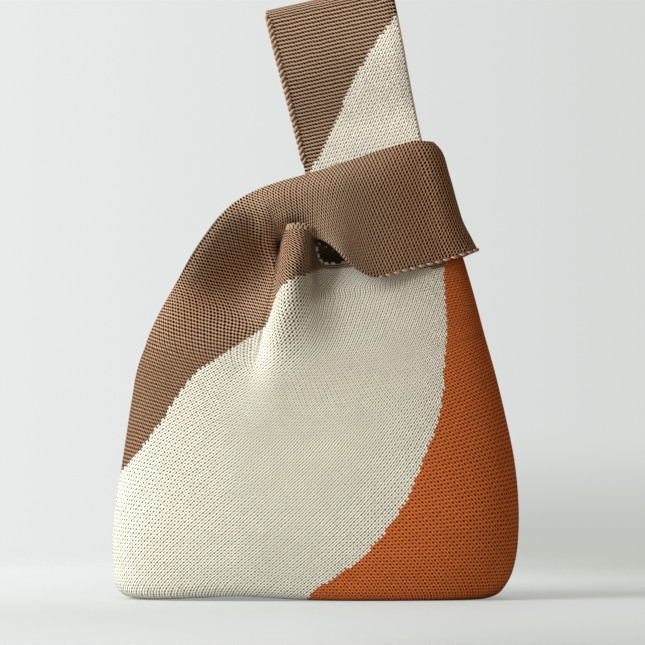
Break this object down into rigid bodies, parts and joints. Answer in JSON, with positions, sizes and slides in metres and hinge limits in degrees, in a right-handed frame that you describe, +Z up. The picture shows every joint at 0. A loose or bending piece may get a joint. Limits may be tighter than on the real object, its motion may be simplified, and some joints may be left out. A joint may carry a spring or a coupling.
{
  "type": "knitted wrist bag",
  "caption": "Soft knitted wrist bag in colour fields; a long handle stands up through the loop of a short handle, which gathers the mouth.",
  "frame": {"origin": "on the floor, under the middle of the bag's outline", "axes": "+Z up, -Y towards the front of the bag, +X towards the long handle's side"},
  "size_m": [0.2108, 0.0802, 0.3215],
  "materials": {
    "brown_knit": "matte wool-like knit",
    "cream_knit": "matte wool-like knit",
    "orange_knit": "matte wool-like knit",
    "edge_yarn": "twisted bind-off yarn"
  },
  "bodies": {
    "bag_body": {"front_brown_field": "brown_knit", "front_cream_field": "cream_knit", "front_orange_field": "orange_knit", "back_brown_field": "brown_knit", "back_cream_field": "cream_knit", "back_orange_field": "orange_knit", "left_side_seam": "edge_yarn", "right_side_seam": "edge_yarn", "bottom_seam": "edge_yarn", "front_mouth_edge": "edge_yarn", "back_mouth_edge": "edge_yarn", "short_handle_front_root": "brown_knit", "short_handle_back_root": "brown_knit", "short_handle_front": "brown_knit", "short_handle_back": "brown_knit", "short_handle_crest_seam": "brown_knit", "short_handle_front_edge": "edge_yarn", "short_handle_back_edge": "edge_yarn"},
    "handle_neck": {"long_handle_front_neck": "cream_knit", "long_handle_back_neck": "cream_knit"},
    "handle_root": {"long_handle_root": "cream_knit"},
    "front_lower_strap": {"long_handle_front_lower_brown": "brown_knit", "long_handle_front_lower_cream": "cream_knit", "long_handle_front_lower_edge": "brown_knit"},
    "back_lower_strap": {"long_handle_back_lower_brown": "brown_knit", "long_handle_back_lower_cream": "cream_knit", "long_handle_back_lower_edge": "brown_knit"},
    "front_upper_strap": {"long_handle_front_upper_brown": "brown_knit", "long_handle_front_upper_cream": "cream_knit", "long_handle_front_upper_edge": "brown_knit", "long_handle_crest_seam": "brown_knit"},
    "back_upper_strap": {"long_handle_back_upper_brown": "brown_knit", "long_handle_back_upper_cream": "cream_knit", "long_handle_back_upper_edge": "brown_knit"}
  },
  "joints": [
    {"name": "handle_pull", "type": "slide", "parent": "bag_body", "child": "handle_neck", "axis": [-0.2164, 0, 0.9763], "range_m": [0, 0.015]},
    {"name": "handle_fold", "type": "hinge", "parent": "handle_neck", "child": "handle_root", "pos_m": [0.02289, 0, 0.24202], "axis": [0.9763, 0, 0.2164], "range_deg": [-90, 90]},
    {"name": "loop_open", "type": "hinge", "parent": "handle_root", "child": "front_lower_strap", "pos_m": [0.02098, -0.0034, 0.25066], "axis": [0.9763, 0, 0.2164], "range_deg": [0, 30]},
    {"name": "loop_open_back", "type": "hinge", "parent": "handle_root", "child": "back_lower_strap", "pos_m": [0.02098, 0.0034, 0.25066], "axis": [0.9763, 0, 0.2164], "range_deg": [-30, 0]},
    {"name": "loop_bend_front", "type": "hinge", "parent": "front_lower_strap", "child": "front_upper_strap", "pos_m": [0.01391, -0.0055, 0.28253], "axis": [0.9763, 0, 0.2164], "range_deg": [-60, 0]},
    {"name": "loop_bend_back", "type": "hinge", "parent": "back_lower_strap", "child": "back_upper_strap", "pos_m": [0.01391, 0.0055, 0.28253], "axis": [0.9763, 0, 0.2164], "range_deg": [0, 60]}
  ],
  "couplings": [
    {"joint": "loop_open_back", "follows": "loop_open", "ratio": -1},
    {"joint": "loop_bend_front", "follows": "loop_open", "ratio": -2},
    {"joint": "loop_bend_back", "follows": "loop_open", "ratio": 2}
  ]
}
